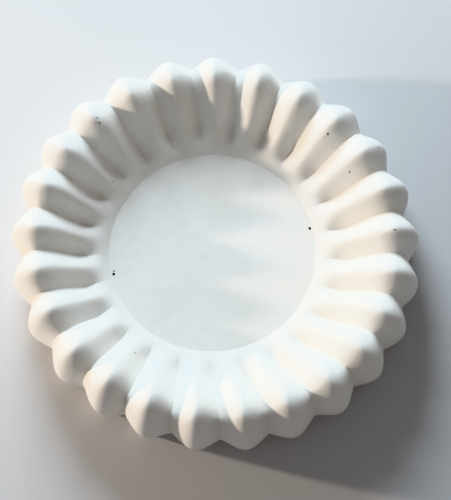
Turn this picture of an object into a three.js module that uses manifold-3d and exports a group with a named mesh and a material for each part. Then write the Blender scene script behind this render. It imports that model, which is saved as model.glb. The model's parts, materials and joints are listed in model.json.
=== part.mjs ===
// A round fluted plaster slump mold: a dish whose wall is a ring of rounded lobes around a flat well.
// It is cast in two pours over a wire armature and two pieces of hessian scrim.
// Millimetres, +Z up. The mold lies on its flat back, and the origin is the centre of that back.

import * as THREE from 'three';
import { mergeVertices } from 'three/addons/utils/BufferGeometryUtils.js';
import Module from 'manifold-3d';

const { degToRad, lerp, smoothstep } = THREE.MathUtils;
const wasm = await Module();
wasm.setup();

// Driving dimensions of the cast face
const LOBES = 25;
const TIP_RADIUS = 200;
const TOTAL_HEIGHT = 78;
const WELL_THICKNESS = 25;
const WELL_RADIUS = 102.3;
const CREST_RADIUS = 173;
const WIDEST_HEIGHT = 36;
const FOOT_RADIUS = 191;

// The wall leaves the well towards the first point, and reaches the crest level from above the second
const WALL_START_HANDLE = new THREE.Vector2(143, 47);
const WALL_END_HANDLE = new THREE.Vector2(152, TOTAL_HEIGHT);

// The flutes deepen out of a plain band around the well, and are shallower again at the lobes' tips
const FLUTE_START = 106;
const FLUTE_FULL = 134;
const WALL_FLUTE_DEPTH = 13;
const TIP_FLUTE_DEPTH = 11.6;
const FLUTE_ROUNDNESS = 1.75;
const CREASE_SHARPNESS = 0.5;

// The mold was made by hand: its well is a little off centre, its rim a little oval, and its lobes,
// which were set out by eye, drift from an even spacing and turn a little as they run up the wall
const WELL_OFFSET = new THREE.Vector2(-3.3, 0.7);
const OVALITY = 0.0155;
const OVAL_ANGLE = degToRad(-45);
const FIRST_LOBE_ANGLE = degToRad(90.43);
const SPACING_DRIFT = [
  { waves: 1, size: degToRad(1.06), peak: degToRad(-132) },
  { waves: 2, size: degToRad(0.95), peak: degToRad(-79) },
];
const SWIRL = degToRad(-1.6);

// The two vents through the well
const VENT_RADIUS = 1.2;
const VENT_CIRCLE = 99.7;
const VENT_ANGLE = degToRad(13.8);

// The layers behind the face
const CLEARANCE = 0.3;
const SCRIM_THICKNESS = 1.2;
const SCRIM_GAP_START = 92;
const SCRIM_GAP_END = 107;
const WALL_SCRIM_END = 169;

// The wire armature
const HOOP_WIRE_RADIUS = 2;
const SPOKE_WIRE_RADIUS = 1.5;
const WELL_HOOP_RADIUS = 86;
const RIM_HOOP_RADIUS = 166;
const SPOKES = 6;
const SPOKE_START = 89;
const SPOKE_END = 159;

// How finely the curves are divided
const COLUMNS_PER_LOBE = 6;
const INNER_WALL_RINGS = 8;
const LIP_RINGS = 4;
const OUTER_WALL_RINGS = 2;
const CORE_SEGMENTS = 60;
const HOOP_SEGMENTS = 40;
const WIRE_SIDES = 8;
const VENT_SIDES = 10;
const SPOKE_STEPS = 12;
const CUTTER_OVERRUN = 5;
const MERGE_DISTANCE = 1e-4;

const plaster = new THREE.MeshStandardMaterial({ color: 0xf0efea, roughness: 0.85, metalness: 0 });
const coarsePlaster = new THREE.MeshStandardMaterial({ color: 0xe6e3dc, roughness: 0.9, metalness: 0 });
const hessian = new THREE.MeshStandardMaterial({ color: 0xa98f62, roughness: 1, metalness: 0 });
const galvanisedWire = new THREE.MeshStandardMaterial({ color: 0x9aa0a3, roughness: 0.5, metalness: 0.9 });

// Solids -------------------------------------------------------------------------------------------

function toSolid(geometry) {
  const bare = geometry.index ? geometry.clone() : geometry;
  bare.deleteAttribute('normal');
  bare.deleteAttribute('uv');
  const merged = mergeVertices(bare, MERGE_DISTANCE);
  return new wasm.Manifold(new wasm.Mesh({
    numProp: 3,
    vertProperties: new Float32Array(merged.attributes.position.array),
    triVerts: new Uint32Array(merged.index.array),
  }));
}

function toGeometry(solid) {
  const mesh = solid.getMesh();
  const geometry = new THREE.BufferGeometry();
  geometry.setAttribute('position', new THREE.BufferAttribute(mesh.vertProperties, 3));
  geometry.setIndex(new THREE.BufferAttribute(mesh.triVerts, 1));
  geometry.computeVertexNormals();
  return geometry;
}

function lathe(points, segments = CORE_SEGMENTS) {
  return new THREE.LatheGeometry(points, segments).rotateX(Math.PI / 2);
}

function node(name, geometry, material) {
  const mesh = new THREE.Mesh(geometry, material);
  mesh.name = name;
  return mesh;
}

// The fluted face ----------------------------------------------------------------------------------

// The line over the crest of a lobe, from the well's edge to the foot, with the way its flutes cut in
function crestProfile() {
  const wall = new THREE.CubicBezierCurve(
    new THREE.Vector2(WELL_RADIUS, WELL_THICKNESS),
    WALL_START_HANDLE,
    WALL_END_HANDLE,
    new THREE.Vector2(CREST_RADIUS, TOTAL_HEIGHT),
  );
  const rings = [];
  for (let i = 0; i < INNER_WALL_RINGS; i += 1) {
    const point = wall.getPoint(i / INNER_WALL_RINGS);
    rings.push({ radius: point.x, height: point.y, cut: new THREE.Vector2(0, -1) });
  }
  for (let i = 0; i <= LIP_RINGS; i += 1) {
    const turn = (i / LIP_RINGS) * Math.PI / 2;
    rings.push({
      radius: lerp(CREST_RADIUS, TIP_RADIUS, Math.sin(turn)),
      height: lerp(WIDEST_HEIGHT, TOTAL_HEIGHT, Math.cos(turn)),
      cut: new THREE.Vector2(-Math.sin(turn), -Math.cos(turn)),
    });
  }
  for (let i = 1; i <= OUTER_WALL_RINGS; i += 1) {
    const down = i / OUTER_WALL_RINGS;
    rings.push({
      radius: lerp(TIP_RADIUS, FOOT_RADIUS, down ** 2),
      height: WIDEST_HEIGHT * (1 - down),
      cut: new THREE.Vector2(-1, 0),
    });
  }
  return rings;
}

// 0 along the crest of a lobe and 1 in the crease, between a rounded valley and a sharp one
function creaseAmount(column) {
  const fromCrest = Math.abs(column / COLUMNS_PER_LOBE - Math.round(column / COLUMNS_PER_LOBE));
  const rounded = Math.sin(Math.PI * fromCrest) ** 2;
  const sharp = (2 * fromCrest) ** FLUTE_ROUNDNESS;
  return lerp(rounded, sharp, CREASE_SHARPNESS);
}

// The direction of a column, which drifts at the rim and is swirled at the well
function columnAngle(column, outward) {
  const even = FIRST_LOBE_ANGLE + (column / (LOBES * COLUMNS_PER_LOBE)) * 2 * Math.PI;
  let drift = 0;
  SPACING_DRIFT.forEach(({ waves, size, peak }) => {
    drift += size * Math.cos(waves * (even - peak));
  });
  return even + lerp(SWIRL, drift, outward);
}

function facePoint(ring, column) {
  const outward = smoothstep(ring.radius, WELL_RADIUS, CREST_RADIUS);
  const angle = columnAngle(column, outward);
  const tipShare = smoothstep(ring.radius, CREST_RADIUS, TIP_RADIUS);
  const fullDepth = lerp(WALL_FLUTE_DEPTH, TIP_FLUTE_DEPTH, tipShare);
  const depth = fullDepth * smoothstep(ring.radius, FLUTE_START, FLUTE_FULL) * creaseAmount(column);
  const oval = 1 + OVALITY * outward * Math.cos(2 * (angle - OVAL_ANGLE));
  const radius = (ring.radius + ring.cut.x * depth) * oval;
  const centre = WELL_OFFSET.clone().multiplyScalar(1 - outward);
  return [
    centre.x + radius * Math.cos(angle),
    centre.y + radius * Math.sin(angle),
    ring.height + ring.cut.y * depth,
  ];
}

// A closed body: the fluted face over the rim, down the outer wall, and a flat underside
function flutedBlank() {
  const rings = crestProfile();
  const columns = LOBES * COLUMNS_PER_LOBE;
  const positions = [WELL_OFFSET.x, WELL_OFFSET.y, WELL_THICKNESS, 0, 0, 0];
  rings.forEach((ring) => {
    for (let column = 0; column < columns; column += 1) {
      positions.push(...facePoint(ring, column));
    }
  });
  const topCentre = 0;
  const bottomCentre = 1;
  const vertex = (ring, column) => 2 + ring * columns + (column % columns);
  const triangles = [];
  for (let column = 0; column < columns; column += 1) {
    triangles.push(topCentre, vertex(0, column), vertex(0, column + 1));
    for (let ring = 0; ring + 1 < rings.length; ring += 1) {
      const near = [vertex(ring, column), vertex(ring, column + 1)];
      const far = [vertex(ring + 1, column), vertex(ring + 1, column + 1)];
      triangles.push(near[0], far[0], far[1], near[0], far[1], near[1]);
    }
    const last = rings.length - 1;
    triangles.push(bottomCentre, vertex(last, column + 1), vertex(last, column));
  }
  const geometry = new THREE.BufferGeometry();
  geometry.setAttribute('position', new THREE.Float32BufferAttribute(positions, 3));
  geometry.setIndex(triangles);
  return toSolid(geometry);
}

// The layers behind it -----------------------------------------------------------------------------

// The back of the face coat, from the centre over the rim and down to the flat back
const FACE_BACK = [
  [0, 16],
  [112, 16],
  [138, 27],
  [160, 46],
  [170, 48],
  [175, 38],
  [167, 0],
].map(([radius, height]) => new THREE.Vector2(radius, height));
const OUTER_LEGS = 2;

// Moves each leg of a profile towards the back by its own distance, and joins the legs where they cross
function offsetProfile(points, distances) {
  const legs = distances.map((distance, i) => {
    const along = points[i + 1].clone().sub(points[i]).normalize();
    const shift = new THREE.Vector2(along.y, -along.x).multiplyScalar(distance);
    return { start: points[i].clone().add(shift), end: points[i + 1].clone().add(shift), along };
  });
  const moved = [legs[0].start];
  for (let i = 1; i < legs.length; i += 1) {
    const before = legs[i - 1];
    const after = legs[i];
    const gap = after.start.clone().sub(before.start);
    const reach = gap.cross(after.along) / before.along.cross(after.along);
    moved.push(before.start.clone().addScaledVector(before.along, reach));
  }
  moved.push(legs.at(-1).end);
  moved[0].x = 0;
  moved.at(-1).y = 0;
  return moved;
}

// The profile at a depth behind the face coat; the outer wall has no scrim, so it stays close there
function layerProfile(depth, outerDepth = Math.min(depth, CLEARANCE)) {
  const legCount = FACE_BACK.length - 1;
  const distances = Array.from({ length: legCount }, (_, i) => (
    i < legCount - OUTER_LEGS ? depth : outerDepth
  ));
  return offsetProfile(FACE_BACK, distances);
}

function heightOnProfile(profile, radius) {
  for (let i = 0; i + 1 < profile.length; i += 1) {
    const start = profile[i];
    const end = profile[i + 1];
    if (radius >= start.x && radius <= end.x) {
      return THREE.MathUtils.mapLinear(radius, start.x, end.x, start.y, end.y);
    }
  }
  return profile.at(-1).y;
}

// The part of a profile between two radii inside the rim, with its ends cut to them
function stretchOfProfile(profile, from, to) {
  const insideRim = profile.slice(0, profile.length - OUTER_LEGS);
  const between = insideRim.filter((point) => point.x > from && point.x < to);
  return [
    new THREE.Vector2(from, heightOnProfile(profile, from)),
    ...between,
    new THREE.Vector2(to, heightOnProfile(profile, to)),
  ];
}

// The body under a profile, down to the flat back, or further down where it is a cutter
function bodyUnder(profile, belowBack = 0) {
  const foot = profile.at(-1);
  const outline = [new THREE.Vector2(0, -belowBack)];
  if (belowBack > 0) {
    outline.push(new THREE.Vector2(foot.x, -belowBack));
  }
  return lathe([...outline, ...profile.slice().reverse()]);
}

function sheet(from, to) {
  const front = stretchOfProfile(layerProfile(CLEARANCE), from, to);
  const rear = stretchOfProfile(layerProfile(CLEARANCE + SCRIM_THICKNESS), from, to);
  const outline = [...rear, ...front.slice().reverse()];
  if (from > 0) {
    outline.push(rear[0].clone());
  }
  return lathe(outline);
}

// The armature -------------------------------------------------------------------------------------

const backingDepth = SCRIM_THICKNESS + 2 * CLEARANCE;

function hoop(radius, wireRadius) {
  const centreLine = layerProfile(backingDepth + HOOP_WIRE_RADIUS);
  const height = heightOnProfile(centreLine, radius);
  return new THREE.TorusGeometry(radius, wireRadius, WIRE_SIDES, HOOP_SEGMENTS).translate(0, 0, height);
}

// A wire from the well hoop up to the rim hoop, close behind the scrim
function spoke(angle, wireRadius, extraLength) {
  const centreLine = layerProfile(backingDepth + SPOKE_WIRE_RADIUS);
  const route = stretchOfProfile(centreLine, SPOKE_START - extraLength, SPOKE_END + extraLength);
  const path = new THREE.CatmullRomCurve3(
    route.map((point) => new THREE.Vector3(point.x, 0, point.y)),
    false,
    'centripetal',
  );
  const section = new THREE.Shape().absarc(0, 0, wireRadius, 0, 2 * Math.PI);
  return new THREE.ExtrudeGeometry(section, {
    steps: SPOKE_STEPS,
    curveSegments: WIRE_SIDES / 2,
    extrudePath: path,
  }).rotateZ(angle);
}

function spokeAngle(index) {
  return VENT_ANGLE + ((index + 0.5) / SPOKES) * 2 * Math.PI;
}

// Assembly -----------------------------------------------------------------------------------------

function vents() {
  return [0, Math.PI].map((side) => {
    const angle = VENT_ANGLE + side;
    return toSolid(new THREE.CylinderGeometry(VENT_RADIUS, VENT_RADIUS, 2 * TOTAL_HEIGHT, VENT_SIDES)
      .rotateX(Math.PI / 2)
      .translate(
        WELL_OFFSET.x + VENT_CIRCLE * Math.cos(angle),
        WELL_OFFSET.y + VENT_CIRCLE * Math.sin(angle),
        0,
      ));
  });
}

function faceCoat() {
  let solid = flutedBlank().subtract(toSolid(bodyUnder(FACE_BACK, CUTTER_OVERRUN)));
  vents().forEach((vent) => {
    solid = solid.subtract(vent);
  });
  return toGeometry(solid);
}

function backingCoat() {
  let solid = toSolid(bodyUnder(layerProfile(backingDepth)));
  const cutters = [
    toSolid(hoop(WELL_HOOP_RADIUS, HOOP_WIRE_RADIUS + CLEARANCE)),
    toSolid(hoop(RIM_HOOP_RADIUS, HOOP_WIRE_RADIUS + CLEARANCE)),
    ...vents(),
  ];
  for (let i = 0; i < SPOKES; i += 1) {
    cutters.push(toSolid(spoke(spokeAngle(i), SPOKE_WIRE_RADIUS + CLEARANCE, CLEARANCE)));
  }
  cutters.forEach((cutter) => {
    solid = solid.subtract(cutter);
  });
  return toGeometry(solid);
}

const mold = new THREE.Group();
mold.add(node('face_coat', faceCoat(), plaster));
mold.add(node('backing_coat', backingCoat(), coarsePlaster));
mold.add(node('well_scrim', sheet(0, SCRIM_GAP_START), hessian));
mold.add(node('wall_scrim', sheet(SCRIM_GAP_END, WALL_SCRIM_END), hessian));
mold.add(node('well_hoop', hoop(WELL_HOOP_RADIUS, HOOP_WIRE_RADIUS), galvanisedWire));
mold.add(node('rim_hoop', hoop(RIM_HOOP_RADIUS, HOOP_WIRE_RADIUS), galvanisedWire));
for (let i = 0; i < SPOKES; i += 1) {
  mold.add(node(`spoke_${i + 1}`, spoke(spokeAngle(i), SPOKE_WIRE_RADIUS, 0), galvanisedWire));
}

export default mold;
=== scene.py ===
"""Looks of a fluted plaster slump mold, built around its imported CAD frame. Metres, +Z up out of the dish."""

import json
import math
import random

import bmesh
import bpy
from mathutils import Matrix, Vector, kdtree, noise


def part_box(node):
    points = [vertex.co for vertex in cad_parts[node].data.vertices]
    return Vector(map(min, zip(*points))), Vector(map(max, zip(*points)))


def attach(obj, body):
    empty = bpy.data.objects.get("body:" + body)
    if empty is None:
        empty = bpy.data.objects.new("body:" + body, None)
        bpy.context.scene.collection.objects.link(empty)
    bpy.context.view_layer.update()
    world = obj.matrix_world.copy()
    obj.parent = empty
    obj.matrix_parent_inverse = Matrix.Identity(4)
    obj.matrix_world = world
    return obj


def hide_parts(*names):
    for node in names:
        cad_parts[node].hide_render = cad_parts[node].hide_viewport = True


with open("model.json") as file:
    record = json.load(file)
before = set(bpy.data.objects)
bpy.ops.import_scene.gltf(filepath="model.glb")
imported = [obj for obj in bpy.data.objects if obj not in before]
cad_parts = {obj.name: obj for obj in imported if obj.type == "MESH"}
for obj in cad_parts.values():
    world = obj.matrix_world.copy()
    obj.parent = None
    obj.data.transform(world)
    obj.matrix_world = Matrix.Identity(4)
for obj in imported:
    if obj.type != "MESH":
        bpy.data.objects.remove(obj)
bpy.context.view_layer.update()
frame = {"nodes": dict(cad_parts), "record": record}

BODY = "root"
MM = 0.001
SEED = 25

# Sizes that the frame gives
MOUNTS = {mount["name"]: mount for mount in frame["record"]["mounts"]}
TOTAL_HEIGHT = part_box("face_coat")[1].z
WELL_HEIGHT = MOUNTS["well_floor"]["pos_m"][2]

# Sizes of the cast face, as in the CAD part
LOBES = 25
TIP_RADIUS = 200 * MM
WELL_RADIUS = 102.3 * MM
CREST_RADIUS = 173 * MM
WIDEST_HEIGHT = 36 * MM
FOOT_RADIUS = 191 * MM
WALL_START_HANDLE = (143 * MM, 47 * MM)
WALL_END_HANDLE_RADIUS = 152 * MM
WALL_FLUTE_DEPTH = 13 * MM
TIP_FLUTE_DEPTH = 11.6 * MM
FLUTE_ROUNDNESS = 1.75
CREASE_SHARPNESS = 0.5
FLUTE_START = 106 * MM
FLUTE_FULL = 134 * MM
FIRST_LOBE_ANGLE = math.radians(90.43)
SPACING_DRIFT = ((1, math.radians(1.06), math.radians(-132)), (2, math.radians(0.95), math.radians(-79)))
SWIRL = math.radians(-1.6)
WELL_OFFSET = Vector((-3.3 * MM, 0.7 * MM))
OVALITY = 0.0155
OVAL_ANGLE = math.radians(-45)
FACE_BACK = [(r * MM, z * MM) for r, z in ((112, 16), (138, 27), (160, 46), (170, 48), (175, 38), (167, 0))]

# The vents
VENT_RADIUS = 1.2 * MM
VENT_CIRCLE = 99.7 * MM
VENT_ANGLE = math.radians(13.8)

# A shallow chip in the well just above the left vent: half its length, width and depth, and its slant
CHIP_HALF_SIZES = (1.6 * MM, 0.8 * MM, 0.3 * MM)
CHIP_FROM_VENT = Vector((0.2 * MM, 3.1 * MM))
CHIP_SLANT = math.radians(45)

# A vent's mouth is worn wider towards the well: (share of the drill's radius, height over the well)
VENT_WEAR = ((1.0, -1.0 * MM), (1.12, -0.35 * MM), (1.45, 0.2 * MM))
VENT_OVERRUN = 2 * MM

# How far a lobe may differ from an even one: shorter, lower, turned aside, and cut more or less deep
LOST_REACH = 0.004
LOST_HEIGHT = 0.9 * MM
LOBE_TURN_DEGREES = 0.35
LOBE_DEPTHS = (0.93, 1.05)
BLEND_START = 0.15
BLEND_END = 0.85

# Hand work: the rubbed surface's gentle unevenness, and the foot's worn edge
RUB_DEPTH = 0.35 * MM
RUB_LENGTH = 26 * MM
FLOOR_RUB_SHARE = 0.4
FOOT_ROUND = 1.6 * MM
UNDERSIDE_RADII = [radius * MM for radius in (177, 174, 171, 169)]
UNDERSIDE_RELIEF = 0.35 * MM

# Air bubbles that broke through the face: (place along the rim in lobes, crest radius, bubble radius)
BUBBLES = (
    (2.96, 166.5 * MM, 0.9 * MM), (3.06, 164 * MM, 0.7 * MM), (3.0, 161.5 * MM, 1.2 * MM),
    (21.88, 156.5 * MM, 1.3 * MM), (21.9, 153 * MM, 0.6 * MM), (20.77, 151.5 * MM, 1.0 * MM),
    (18.96, 173 * MM, 1.1 * MM), (20.92, 188 * MM, 0.85 * MM), (17.15, 184 * MM, 0.75 * MM),
    (10.15, 131 * MM, 0.9 * MM), (3.88, 121.5 * MM, 0.85 * MM),
)
BUBBLE_LENGTH = 1.15
BUBBLE_WIDTHS = (0.55, 0.95)
BUBBLE_DEPTHS = (0.9, 1.2)
PINHOLES = 90
PINHOLE_RADII = (0.22 * MM, 0.45 * MM)

# The back, struck off with a straight edge while the plaster was soft
STRIKE_STEPS = 150
STRIKE_HALF_SIZE = 172 * MM
STRIKE_DEPTH = 0.6 * MM
STRIKE_SLAB = 2 * MM
STREAK_LENGTH = 0.09
STREAK_WIDTH = 0.009
PATCH_LENGTH = 0.04
PATCH_LAYER = 5
MEAN_RIDGE = 0.4
STREAK_SHARE = 0.5
PATCH_SHARE = 0.35
LOWEST_RIDGE = 0.06

# How finely the surfaces are divided
VENT_SIDES = 28
SAME_PLACE = 0.001 * MM
COLUMNS_PER_LOBE = 26
FLOOR_RINGS = 6
WALL_RINGS = 44
LIP_RINGS = 26
OUTER_RINGS = 14
FOOT_RINGS = 4
COLUMNS = LOBES * COLUMNS_PER_LOBE

# Edges that turn by more than this stay sharp
SHARP_ANGLE = math.radians(28)

# The CAD nodes that are wire
WIRES = ["well_hoop", "rim_hoop"] + [f"spoke_{number}" for number in range(1, 7)]


# Shapes ---------------------------------------------------------------------------------------------

def smoothstep(value, low, high):
    """0 below low, 1 above high, and a smooth rise between them."""
    share = min(max((value - low) / (high - low), 0), 1)
    return share * share * (3 - 2 * share)


def lobe_variations():
    """How much each lobe differs from its neighbours, as a hand-carved one does."""
    chance = random.Random(SEED)
    return [
        {
            "reach": 1 - LOST_REACH * chance.random(),
            "drop": LOST_HEIGHT * chance.random(),
            "turn": math.radians(chance.uniform(-LOBE_TURN_DEGREES, LOBE_TURN_DEGREES)),
            "depth": chance.uniform(*LOBE_DEPTHS),
        }
        for _ in range(LOBES)
    ]


VARIATIONS = lobe_variations()


def varied(key, lobes_along):
    """A lobe's own value at its crest, blended into its neighbours' at the creases."""
    low = math.floor(lobes_along)
    share = smoothstep(lobes_along - low, BLEND_START, BLEND_END)
    before = VARIATIONS[low % LOBES][key]
    after = VARIATIONS[(low + 1) % LOBES][key]
    return before + (after - before) * share


def bezier(points, share):
    """A point of a cubic curve, a share of the way along it."""
    rest = 1 - share
    weights = (rest ** 3, 3 * rest ** 2 * share, 3 * rest * share ** 2, share ** 3)
    return [sum(weight * point[axis] for weight, point in zip(weights, points)) for axis in (0, 1)]


def outer_radius(height):
    """The outer wall's radius at a crest, which falls in from the widest place down to the foot."""
    return TIP_RADIUS - (TIP_RADIUS - FOOT_RADIUS) * (1 - height / WIDEST_HEIGHT) ** 2


def crest_profile():
    """Rings over the crest of a lobe: (radius, height, direction in which the flutes are cut)."""
    wall = (
        (WELL_RADIUS, WELL_HEIGHT), WALL_START_HANDLE,
        (WALL_END_HANDLE_RADIUS, TOTAL_HEIGHT), (CREST_RADIUS, TOTAL_HEIGHT),
    )
    rings = []
    for i in range(WALL_RINGS):
        radius, height = bezier(wall, i / WALL_RINGS)
        rings.append((radius, height, (0.0, -1.0)))
    for i in range(LIP_RINGS + 1):
        turn = i / LIP_RINGS * math.pi / 2
        radius = CREST_RADIUS + (TIP_RADIUS - CREST_RADIUS) * math.sin(turn)
        height = WIDEST_HEIGHT + (TOTAL_HEIGHT - WIDEST_HEIGHT) * math.cos(turn)
        rings.append((radius, height, (-math.sin(turn), -math.cos(turn))))
    for i in range(1, OUTER_RINGS + 1):
        height = WIDEST_HEIGHT + (FOOT_ROUND - WIDEST_HEIGHT) * i / OUTER_RINGS
        rings.append((outer_radius(height), height, (-1.0, 0.0)))
    for i in range(1, FOOT_RINGS + 1):
        turn = i / FOOT_RINGS * math.pi / 2
        radius = outer_radius(FOOT_ROUND) - FOOT_ROUND * (1 - math.cos(turn))
        rings.append((radius, FOOT_ROUND * (1 - math.sin(turn)), (-1.0, 0.0)))
    return rings


def lobe_angle(along, outward):
    """The direction of a place along the rim, counted in lobes. The lobes were set out by eye."""
    even = FIRST_LOBE_ANGLE + along / LOBES * 2 * math.pi
    drift = sum(size * math.cos(waves * (even - peak)) for waves, size, peak in SPACING_DRIFT)
    return even + (drift + varied("turn", along)) * outward + SWIRL * (1 - outward)


def rubbed_down(x, y, z):
    """How deep the hand-rubbed surface lies under the even shape there."""
    return RUB_DEPTH * (0.5 + 0.5 * noise.noise(Vector((x, y, z)) / RUB_LENGTH))


def crease_amount(along):
    """0 along the crest of a lobe and 1 in the crease, between a rounded valley and a sharp one."""
    from_crest = abs(along - round(along))
    rounded = math.sin(math.pi * from_crest) ** 2
    sharp = (2 * from_crest) ** FLUTE_ROUNDNESS
    return rounded + (sharp - rounded) * CREASE_SHARPNESS


def face_point(ring, along):
    """A point of the fluted face, and how far it lies towards a crease, from 0 to 1."""
    radius, height, cut = ring
    outward = smoothstep(radius, WELL_RADIUS, CREST_RADIUS)
    angle = lobe_angle(along, outward)
    towards_crease = crease_amount(along)
    change = smoothstep(radius, CREST_RADIUS, TIP_RADIUS)
    full_depth = WALL_FLUTE_DEPTH + (TIP_FLUTE_DEPTH - WALL_FLUTE_DEPTH) * change
    relief = full_depth * smoothstep(radius, FLUTE_START, FLUTE_FULL)
    depth = relief * towards_crease * varied("depth", along)
    depth += rubbed_down(radius * math.cos(angle), radius * math.sin(angle), height) * outward
    oval = 1 + OVALITY * outward * math.cos(2 * (angle - OVAL_ANGLE))
    reach = 1 + (varied("reach", along) - 1) * outward
    lifted = smoothstep(height, WIDEST_HEIGHT, TOTAL_HEIGHT) * outward
    radius = (radius + cut[0] * depth) * oval * reach
    centre = WELL_OFFSET * (1 - outward)
    point = Vector((
        centre.x + radius * math.cos(angle),
        centre.y + radius * math.sin(angle),
        height + cut[1] * depth - varied("drop", along) * lifted,
    ))
    return point, towards_crease * smoothstep(radius, FLUTE_START, FLUTE_FULL)


def add_object(name, mesh):
    piece = bpy.data.objects.new(name, mesh)
    bpy.context.scene.collection.objects.link(piece)
    return piece


def mesh_piece(name, points, faces):
    """A mesh object with those points and faces."""
    mesh = bpy.data.meshes.new(name)
    mesh.from_pydata(points, [], faces)
    mesh.validate()
    return add_object(name, mesh)


def ring_faces(rings):
    """Quads between neighbouring rings of COLUMNS points each, then a fan at each end to a last point."""
    faces = []
    for ring in range(rings - 1):
        for column in range(COLUMNS):
            after = (column + 1) % COLUMNS
            low, high = ring * COLUMNS, (ring + 1) * COLUMNS
            faces.append((low + column, high + column, high + after, low + after))
    first_centre, last_centre = rings * COLUMNS, rings * COLUMNS + 1
    last = (rings - 1) * COLUMNS
    for column in range(COLUMNS):
        after = (column + 1) % COLUMNS
        faces.append((first_centre, column, after))
        faces.append((last_centre, last + after, last + column))
    return faces


def circle(radius, height, centre=(0.0, 0.0)):
    return [
        Vector((
            centre[0] + radius * math.cos(FIRST_LOBE_ANGLE + column / COLUMNS * 2 * math.pi),
            centre[1] + radius * math.sin(FIRST_LOBE_ANGLE + column / COLUMNS * 2 * math.pi),
            height,
        ))
        for column in range(COLUMNS)
    ]


def floor_circle(radius):
    """A ring of the well's floor, rubbed less than the wall, and most towards its middle."""
    ring = circle(radius, WELL_HEIGHT, WELL_OFFSET)
    for point in ring:
        point.z -= rubbed_down(*point) * FLOOR_RUB_SHARE * smoothstep(radius, WELL_RADIUS, 0)
    return ring


def underside_circle(radius):
    """A ring of the struck-off rim around the back."""
    ring = circle(radius, 0)
    for point in ring:
        point.z = UNDERSIDE_RELIEF * max(noise.noise(point / RUB_LENGTH * 2), 0)
    return ring


def mark_points(piece, name, values):
    """Gives each point of a piece a number that its material reads."""
    attribute = piece.data.attributes.new(name, "FLOAT", "POINT")
    attribute.data.foreach_set("value", values)


def cut_away(piece, cutter):
    """Cuts the cutter out of a piece, and removes it."""
    modifier = piece.modifiers.new("cut", "BOOLEAN")
    modifier.operation = "DIFFERENCE"
    modifier.solver = "EXACT"
    modifier.object = cutter
    depsgraph = bpy.context.evaluated_depsgraph_get()
    cut = bpy.data.meshes.new_from_object(piece.evaluated_get(depsgraph))
    piece.modifiers.clear()
    piece.data = cut
    bpy.data.objects.remove(cutter)


def add_vent(builder, angle):
    """A drill's path through the well, its mouth a little worn."""
    centre = WELL_OFFSET + Vector((math.cos(angle), math.sin(angle))) * VENT_CIRCLE
    profile = [(VENT_RADIUS, -VENT_OVERRUN)]
    profile += [(VENT_RADIUS * widening, WELL_HEIGHT + height) for widening, height in VENT_WEAR]
    loops = []
    for radius, height in profile:
        loops.append([
            builder.verts.new((
                centre.x + radius * math.cos(side / VENT_SIDES * 2 * math.pi),
                centre.y + radius * math.sin(side / VENT_SIDES * 2 * math.pi),
                height,
            ))
            for side in range(VENT_SIDES)
        ])
    for low, high in zip(loops, loops[1:]):
        for side in range(VENT_SIDES):
            after = (side + 1) % VENT_SIDES
            builder.faces.new((low[side], low[after], high[after], high[side]))
    builder.faces.new(list(reversed(loops[0])))
    builder.faces.new(loops[-1])


def add_bubble(builder, chance, along, crest_radius, radius):
    """An air bubble, not quite round, half open at the face."""
    rings = crest_profile()[:WALL_RINGS + LIP_RINGS]
    ring = min(rings, key=lambda candidate: abs(candidate[0] - crest_radius))
    place = Matrix.Translation(face_point(ring, along)[0])
    turn = Matrix.Rotation(chance.uniform(0, math.pi), 4, "Z")
    width = chance.uniform(*BUBBLE_WIDTHS)
    depth = chance.uniform(*BUBBLE_DEPTHS)
    stretch = Matrix.Diagonal((BUBBLE_LENGTH, width, depth, 1))
    detail = 2 if radius > PINHOLE_RADII[1] else 1
    bmesh.ops.create_icosphere(builder, subdivisions=detail, radius=radius, matrix=place @ turn @ stretch)


def add_chip(builder):
    """The shallow chip in the well's surface."""
    angle = VENT_ANGLE + math.pi
    vent = WELL_OFFSET + VENT_CIRCLE * Vector((math.cos(angle), math.sin(angle)))
    place = Matrix.Translation((*(vent + CHIP_FROM_VENT), WELL_HEIGHT))
    turn = Matrix.Rotation(CHIP_SLANT, 4, "Z")
    stretch = Matrix.Diagonal((*CHIP_HALF_SIZES, 1))
    bmesh.ops.create_icosphere(builder, subdivisions=2, radius=1, matrix=place @ turn @ stretch)


def inside_marks(piece, hole_points):
    """For each point of a cut piece, 1 if it came from the cutter and so lies in a hole, else 0."""
    tree = kdtree.KDTree(len(hole_points))
    for index, point in enumerate(hole_points):
        tree.insert(point, index)
    tree.balance()
    return [float(tree.find(vertex.co)[2] < SAME_PLACE) for vertex in piece.data.vertices]


def holes_cutter():
    """The two vents, the open air bubbles, the pinholes and the chip."""
    chance = random.Random(SEED + 1)
    builder = bmesh.new()
    for side in (0, math.pi):
        add_vent(builder, VENT_ANGLE + side)
    for along, crest_radius, radius in BUBBLES:
        add_bubble(builder, chance, along, crest_radius, radius)
    for index in range(PINHOLES):
        along = (index + chance.uniform(0.2, 0.8)) / PINHOLES * LOBES
        crest_radius = chance.uniform(FLUTE_START, TIP_RADIUS)
        add_bubble(builder, chance, along, crest_radius, chance.uniform(*PINHOLE_RADII))
    add_chip(builder)
    mesh = bpy.data.meshes.new("holes_cutter")
    builder.to_mesh(mesh)
    builder.free()
    return add_object("holes_cutter", mesh)


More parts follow.
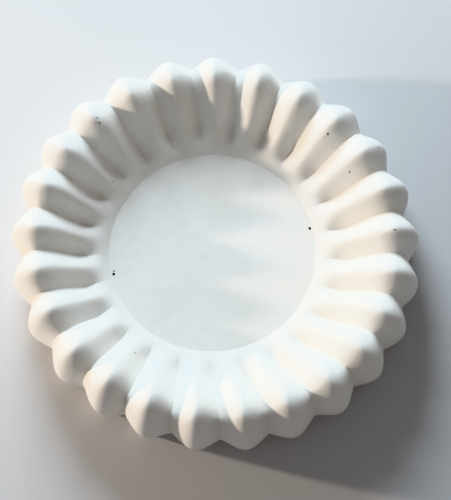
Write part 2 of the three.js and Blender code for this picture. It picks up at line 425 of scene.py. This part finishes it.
def face_coat():
    """The fluted face, its outer wall, and the hollow at its back that the second pour fills."""
    points, creases = [], []
    for i in range(1, FLOOR_RINGS):
        points += floor_circle(WELL_RADIUS * i / FLOOR_RINGS)
    creases += [0.0] * len(points)
    for ring in crest_profile():
        for column in range(COLUMNS):
            point, crease = face_point(ring, column / COLUMNS_PER_LOBE)
            points.append(point)
            creases.append(crease)
    for radius in UNDERSIDE_RADII:
        points += underside_circle(radius)
    for radius, height in reversed(FACE_BACK):
        points += circle(radius, height)
    rings = len(points) // COLUMNS
    floor_centre = Vector((WELL_OFFSET.x, WELL_OFFSET.y, WELL_HEIGHT))
    floor_centre.z -= rubbed_down(*floor_centre) * FLOOR_RUB_SHARE
    points += [floor_centre, Vector((0, 0, FACE_BACK[0][1]))]
    creases += [0.0] * (len(points) - len(creases))
    piece = mesh_piece("plaster_face", points, ring_faces(rings))
    mark_points(piece, "crease", creases)
    cutter = holes_cutter()
    hole_points = [vertex.co.copy() for vertex in cutter.data.vertices]
    cut_away(piece, cutter)
    mark_points(piece, "hollow", inside_marks(piece, hole_points))
    return piece


def strike_marks():
    """A slab under the back, its top the low ridges that the straight edge left."""
    points = []
    for row in range(STRIKE_STEPS + 1):
        for step in range(STRIKE_STEPS + 1):
            x = STRIKE_HALF_SIZE * (2 * step / STRIKE_STEPS - 1)
            y = STRIKE_HALF_SIZE * (2 * row / STRIKE_STEPS - 1)
            streak = noise.noise(Vector((x / STREAK_LENGTH, y / STREAK_WIDTH, 0)))
            patch = noise.noise(Vector((x / PATCH_LENGTH, y / PATCH_LENGTH, PATCH_LAYER)))
            ridge = MEAN_RIDGE + STREAK_SHARE * streak + PATCH_SHARE * patch
            points.append((x, y, STRIKE_DEPTH * min(max(ridge, LOWEST_RIDGE), 1)))
    side = STRIKE_STEPS + 1
    faces = []
    for row in range(STRIKE_STEPS):
        for step in range(STRIKE_STEPS):
            corner = row * side + step
            faces.append((corner, corner + 1, corner + side + 1, corner + side))
    border = list(range(side))
    border += [row * side + side - 1 for row in range(1, side)]
    border += [side * side - 1 - step for step in range(1, side)]
    border += [row * side for row in range(side - 2, 0, -1)]
    first_low = len(points)
    points += [(points[index][0], points[index][1], -STRIKE_SLAB) for index in border]
    for i, index in enumerate(border):
        after = (i + 1) % len(border)
        faces.append((border[after], index, first_low + i, first_low + after))
    faces.append([first_low + i for i in reversed(range(len(border)))])
    return mesh_piece("strike_marks", points, faces)


def backing_coat():
    """The second pour, with the marks of the straight edge across its back."""
    mesh = frame["nodes"]["backing_coat"].data.copy()
    mesh.materials.clear()
    piece = add_object("plaster_backing", mesh)
    cut_away(piece, strike_marks())
    return piece


# Materials ------------------------------------------------------------------------------------------

# Colours are linear, and patterns' lengths are in metres
FINE_WHITE = (0.86, 0.85, 0.825, 1)
FINE_CREAM = (0.82, 0.80, 0.755, 1)
FINE_MOTTLE = (0.79, 0.765, 0.715, 1)
# Painted shade for the creases
CREASE_PAINTED_SHADE = (0.70, 0.665, 0.60, 1)
# Painted shade of pinholes too small to cut, as dark specks
PAINTED_PINHOLE_SHADE = (0.34, 0.30, 0.26, 1)
# Painted shade for the insides of holes
PAINTED_HOLE_SHADE = (0.11, 0.09, 0.075, 1)
COARSE_PALE = (0.77, 0.75, 0.70, 1)
COARSE_YELLOWED = (0.66, 0.625, 0.55, 1)
COARSE_STREAK = (0.58, 0.55, 0.49, 1)
# Painted shade for the pits of the back
PAINTED_PIT_SHADE = (0.30, 0.27, 0.23, 1)
JUTE_GAP = (0.17, 0.11, 0.05, 1)
JUTE_THREAD = (0.42, 0.30, 0.15, 1)
SOAKED_JUTE = (0.74, 0.71, 0.64, 1)
DARK_ZINC = (0.40, 0.42, 0.44, 1)
LIGHT_ZINC = (0.60, 0.62, 0.64, 1)
PLASTER_BLOOM = (0.76, 0.75, 0.72, 1)
FLOOR_COLOR = (0.55, 0.55, 0.56, 1)
FINE_GLOSS = 0.3
COARSE_GLOSS = 0.25
FLOOR_ROUGHNESS = 0.9
JUTE_SCALE = 62.0
ZINC_CRYSTAL_SCALE = 420.0


def new_material(name):
    """An empty material with a Principled shader."""
    material = bpy.data.materials.new(name)
    material.use_nodes = True
    material.node_tree.nodes.clear()
    shader = add_node(material, "BsdfPrincipled")
    output = add_node(material, "OutputMaterial")
    material.node_tree.links.new(shader.outputs["BSDF"], output.inputs["Surface"])
    return material, shader


def add_node(material, kind, inputs=None, **settings):
    """A new node with its settings, each input either a plain value or another node's output."""
    made = material.node_tree.nodes.new("ShaderNode" + kind)
    for name, value in settings.items():
        setattr(made, name, value)
    for name, value in (inputs or {}).items():
        connect(material, value, made.inputs[name])
    return made


def connect(material, value, socket):
    if isinstance(value, bpy.types.NodeSocket):
        material.node_tree.links.new(value, socket)
    else:
        socket.default_value = value


def place_of(material, stretch=(1, 1, 1)):
    """The place on the object in metres, stretched to draw a pattern out along some axes."""
    coordinates = add_node(material, "TexCoord").outputs["Object"]
    mapping = add_node(material, "Mapping", {"Vector": coordinates, "Scale": stretch})
    return mapping.outputs["Vector"]


def noise_of(material, place, length, detail=2.0, roughness=0.5):
    """Cloudy noise from 0 to 1 whose patches are about that length across."""
    inputs = {"Vector": place, "Scale": 1 / length, "Detail": detail, "Roughness": roughness}
    return add_node(material, "TexNoise", inputs).outputs[0]


def ramp(material, value, low, high, to_low=0.0, to_high=1.0):
    """The value's way from low to high, turned into a way from to_low to to_high."""
    inputs = {"Value": value, "From Min": low, "From Max": high, "To Min": to_low, "To Max": to_high}
    return add_node(material, "MapRange", inputs).outputs["Result"]


def math_of(material, operation, first, second):
    made = add_node(material, "Math", operation=operation)
    connect(material, first, made.inputs[0])
    connect(material, second, made.inputs[1])
    return made.outputs[0]


def mix_colors(material, share, first, second):
    inputs = {"Fac": share, "Color1": first, "Color2": second}
    return add_node(material, "MixRGB", inputs).outputs["Color"]


def attribute_of(material, name):
    return add_node(material, "Attribute", attribute_name=name).outputs["Fac"]


def bump_of(material, layers):
    """Bumps laid over each other: (height from 0 to 1, depth in metres) for each layer."""
    normal = None
    for height, depth in layers:
        inputs = {"Height": height, "Distance": depth, "Strength": 1.0}
        if normal is not None:
            inputs["Normal"] = normal
        normal = add_node(material, "Bump", inputs).outputs["Normal"]
    return normal


def specks_of(material, place, spacing, radius, share):
    """Round specks, at most one to each cell of that spacing, in that share of the cells."""
    cells = add_node(material, "TexVoronoi", {"Vector": place, "Scale": 1 / spacing})
    near = ramp(material, cells.outputs["Distance"], radius / spacing, radius / spacing * 0.4)
    chosen = add_node(material, "SeparateColor", {"Color": cells.outputs["Color"]}).outputs["Red"]
    return math_of(material, "MULTIPLY", near, ramp(material, chosen, share, share * 0.9))


def face_plaster():
    """Fine white plaster: chalky, faintly clouded, rubbed on the crests, with painted shade in creases, specks
    and holes.
    """
    material, shader = new_material("fine_white_plaster")
    place = place_of(material)
    clouds = noise_of(material, place, 0.07, 3)
    mottle = noise_of(material, place, 0.009, 3)
    grain = noise_of(material, place, 0.0007, 2)
    crease = attribute_of(material, "crease")
    hollow = attribute_of(material, "hollow")
    color = mix_colors(material, ramp(material, clouds, 0.35, 0.65), FINE_WHITE, FINE_CREAM)
    color = mix_colors(material, ramp(material, mottle, 0.42, 0.7, 0, 0.35), color, FINE_MOTTLE)
    # Painted shade: the creases are darkened, in patches, towards a warmer grey
    in_creases = ramp(material, crease, 0.55, 1.0)
    in_patches = ramp(material, clouds, 0.3, 0.6, 0.12, 0.4)
    crease_shade = math_of(material, "MULTIPLY", in_creases, in_patches)
    color = mix_colors(material, crease_shade, color, CREASE_PAINTED_SHADE)
    # Painted shade: scattered dark specks stand for the shade inside tiny pinholes
    specks = specks_of(material, place, 0.012, 0.00035, 0.3)
    color = mix_colors(material, math_of(material, "MULTIPLY", specks, 0.55), color, PAINTED_PINHOLE_SHADE)
    # Painted shade: the insides of the vents, bubbles, pinholes and chip are darkened
    color = mix_colors(material, ramp(material, hollow, 0.2, 0.9, 0, 0.85), color, PAINTED_HOLE_SHADE)
    connect(material, color, shader.inputs["Base Color"])
    rubbed = ramp(material, crease, 0, 0.6, 0.74, 0.86)
    chalk = math_of(material, "ADD", rubbed, ramp(material, mottle, 0.3, 0.7, 0, 0.1))
    connect(material, chalk, shader.inputs["Roughness"])
    shader.inputs["Specular IOR Level"].default_value = FINE_GLOSS
    normal = bump_of(material, ((noise_of(material, place, 0.006, 3), 0.00012), (grain, 0.00003)))
    connect(material, normal, shader.inputs["Normal"])
    return material


def backing_plaster():
    """Coarser plaster, struck off and left: streaked, pitted with painted shade in the pits, and yellowed by
    the hands that lift it.
    """
    material, shader = new_material("coarse_plaster")
    place = place_of(material)
    streaks = noise_of(material, place_of(material, (0.12, 1, 1)), 0.006, 3)
    clouds = noise_of(material, place, 0.045, 4)
    grit = noise_of(material, place, 0.0012, 2, 0.7)
    pits = specks_of(material, place, 0.006, 0.0007, 0.35)
    color = mix_colors(material, ramp(material, clouds, 0.35, 0.68), COARSE_PALE, COARSE_YELLOWED)
    color = mix_colors(material, ramp(material, streaks, 0.45, 0.7, 0, 0.5), color, COARSE_STREAK)
    # Painted shade: the pits are darkened as well as sunk
    color = mix_colors(material, math_of(material, "MULTIPLY", pits, 0.7), color, PAINTED_PIT_SHADE)
    connect(material, color, shader.inputs["Base Color"])
    connect(material, ramp(material, streaks, 0.3, 0.7, 0.8, 0.96), shader.inputs["Roughness"])
    shader.inputs["Specular IOR Level"].default_value = COARSE_GLOSS
    sunk = math_of(material, "SUBTRACT", 1.0, pits)
    normal = bump_of(material, ((streaks, 0.0004), (sunk, 0.0005), (grit, 0.00012)))
    connect(material, normal, shader.inputs["Normal"])
    return material


def hessian():
    """Open jute weave soaked in plaster: two sets of threads over and under each other."""
    material, shader = new_material("plaster_soaked_hessian")
    place = place_of(material)
    threads = []
    for axis in ("X", "Y"):
        inputs = {"Vector": place, "Scale": JUTE_SCALE, "Distortion": 0.6, "Detail": 2.0, "Detail Scale": 2.0}
        threads.append(add_node(material, "TexWave", inputs, bands_direction=axis).outputs["Fac"])
    weave = math_of(material, "MAXIMUM", threads[0], threads[1])
    soaked = noise_of(material, place, 0.02, 4)
    color = mix_colors(material, weave, JUTE_GAP, JUTE_THREAD)
    color = mix_colors(material, ramp(material, soaked, 0.45, 0.6), color, SOAKED_JUTE)
    connect(material, color, shader.inputs["Base Color"])
    connect(material, ramp(material, weave, 0, 1, 0.97, 0.85), shader.inputs["Roughness"])
    fibres = noise_of(material, place, 0.0006, 2)
    normal = bump_of(material, ((weave, 0.0006), (fibres, 0.0001)))
    connect(material, normal, shader.inputs["Normal"])
    return material


def galvanised_wire():
    """Dull zinc with its crystals, and white bloom where wet plaster has touched it."""
    material, shader = new_material("galvanised_wire")
    place = place_of(material)
    inputs = {"Vector": place, "Scale": ZINC_CRYSTAL_SCALE}
    crystals = add_node(material, "TexVoronoi", inputs).outputs["Color"]
    shade = add_node(material, "SeparateColor", {"Color": crystals}).outputs["Green"]
    bloom = ramp(material, noise_of(material, place, 0.012, 4), 0.5, 0.66)
    color = mix_colors(material, shade, DARK_ZINC, LIGHT_ZINC)
    color = mix_colors(material, bloom, color, PLASTER_BLOOM)
    connect(material, color, shader.inputs["Base Color"])
    connect(material, ramp(material, bloom, 0, 1, 0.95, 0.1), shader.inputs["Metallic"])
    connect(material, ramp(material, shade, 0, 1, 0.34, 0.55), shader.inputs["Roughness"])
    drawn = noise_of(material, place_of(material, (1, 1, 6)), 0.002, 2)
    connect(material, bump_of(material, ((drawn, 0.00008),)), shader.inputs["Normal"])
    return material


# Stage ----------------------------------------------------------------------------------------------

VIEW_TILT = math.radians(18.3)
VIEW_YAW = math.radians(1.3)
CAMERA_DISTANCE = 7 * TIP_RADIUS
CAMERA_SIDEWAYS = 0.0495 * TIP_RADIUS
CAMERA_UP = 0.0091 * TIP_RADIUS
LENS_MM = 101.9
CAMERA_REACH = 50


def add_camera():
    turn = Matrix.Rotation(VIEW_TILT, 4, "X") @ Matrix.Rotation(VIEW_YAW, 4, "Y")
    camera = bpy.data.objects.new("camera", bpy.data.cameras.new("camera"))
    bpy.context.scene.collection.objects.link(camera)
    place = turn @ Vector((CAMERA_SIDEWAYS, CAMERA_UP, CAMERA_DISTANCE)) + Vector((0, 0, WELL_HEIGHT))
    camera.matrix_world = Matrix.Translation(place) @ turn
    camera.data.lens = LENS_MM
    camera.data.clip_end = CAMERA_REACH
    bpy.context.scene.camera = camera


FLOOR_REACH = 6
FLOOR_HEIGHT = -0.05 * MM
LIGHT_DISTANCE = 2.0
KEY_AZIMUTH = math.radians(104)
KEY_ELEVATION = math.radians(27)
KEY_SIZE = 1.0
KEY_WATTS = 68
KEY_COLOR = (0.77, 0.91, 1.0)
LAMP_AZIMUTH = math.radians(174)
LAMP_ELEVATION = math.radians(13)
LAMP_SIZE = 0.12
LAMP_WATTS = 42
LAMP_COLOR = (1.0, 0.85, 0.71)
ROOM_COLOR = (1.0, 0.965, 0.953, 1)
ROOM_STRENGTH = 0.27


def direction(azimuth, elevation):
    """The unit vector towards a light, its azimuth measured from +X towards +Y."""
    flat = math.cos(elevation)
    return Vector((flat * math.cos(azimuth), flat * math.sin(azimuth), math.sin(elevation)))


def add_area_light(name, towards, size, watts, color):
    light = bpy.data.lights.new(name, "AREA")
    light.shape = "DISK"
    light.size = size
    light.energy = watts
    light.color = color
    lamp = bpy.data.objects.new(name, light)
    lamp.location = towards * LIGHT_DISTANCE + Vector((0, 0, WELL_HEIGHT))
    lamp.rotation_mode = "QUATERNION"
    lamp.rotation_quaternion = towards.to_track_quat("Z", "Y")
    bpy.context.scene.collection.objects.link(lamp)


def add_stage():
    signs = ((-1, -1), (1, -1), (1, 1), (-1, 1))
    corners = [(x * FLOOR_REACH, y * FLOOR_REACH, FLOOR_HEIGHT) for x, y in signs]
    floor = mesh_piece("floor", corners, [(0, 1, 2, 3)])
    material, shader = new_material("pale_floor")
    shader.inputs["Base Color"].default_value = FLOOR_COLOR
    shader.inputs["Roughness"].default_value = FLOOR_ROUGHNESS
    floor.data.materials.append(material)
    world = bpy.data.worlds.new("soft_room")
    world.use_nodes = True
    world.node_tree.nodes["Background"].inputs["Color"].default_value = ROOM_COLOR
    world.node_tree.nodes["Background"].inputs["Strength"].default_value = ROOM_STRENGTH
    bpy.context.scene.world = world
    bpy.context.scene.view_settings.view_transform = "Khronos PBR Neutral"
    add_area_light("softbox", direction(KEY_AZIMUTH, KEY_ELEVATION), KEY_SIZE, KEY_WATTS, KEY_COLOR)
    add_area_light("low_lamp", direction(LAMP_AZIMUTH, LAMP_ELEVATION), LAMP_SIZE, LAMP_WATTS, LAMP_COLOR)


def finish_piece(piece, material, node):
    """Shades a piece smoothly between its sharp edges, and puts it in its CAD node's place."""
    piece.data.materials.append(material)
    piece.data.polygons.foreach_set("use_smooth", [True] * len(piece.data.polygons))
    piece.data.set_sharp_from_angle(angle=SHARP_ANGLE)
    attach(piece, BODY)
    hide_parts(node)


def dress(names, material):
    """Gives CAD nodes that keep their shape a finished material."""
    for name in names:
        for slot in frame["nodes"][name].material_slots:
            slot.material = material


add_camera()
add_stage()
finish_piece(face_coat(), face_plaster(), "face_coat")
finish_piece(backing_coat(), backing_plaster(), "backing_coat")
dress(["well_scrim", "wall_scrim"], hessian())
dress(WIRES, galvanised_wire())
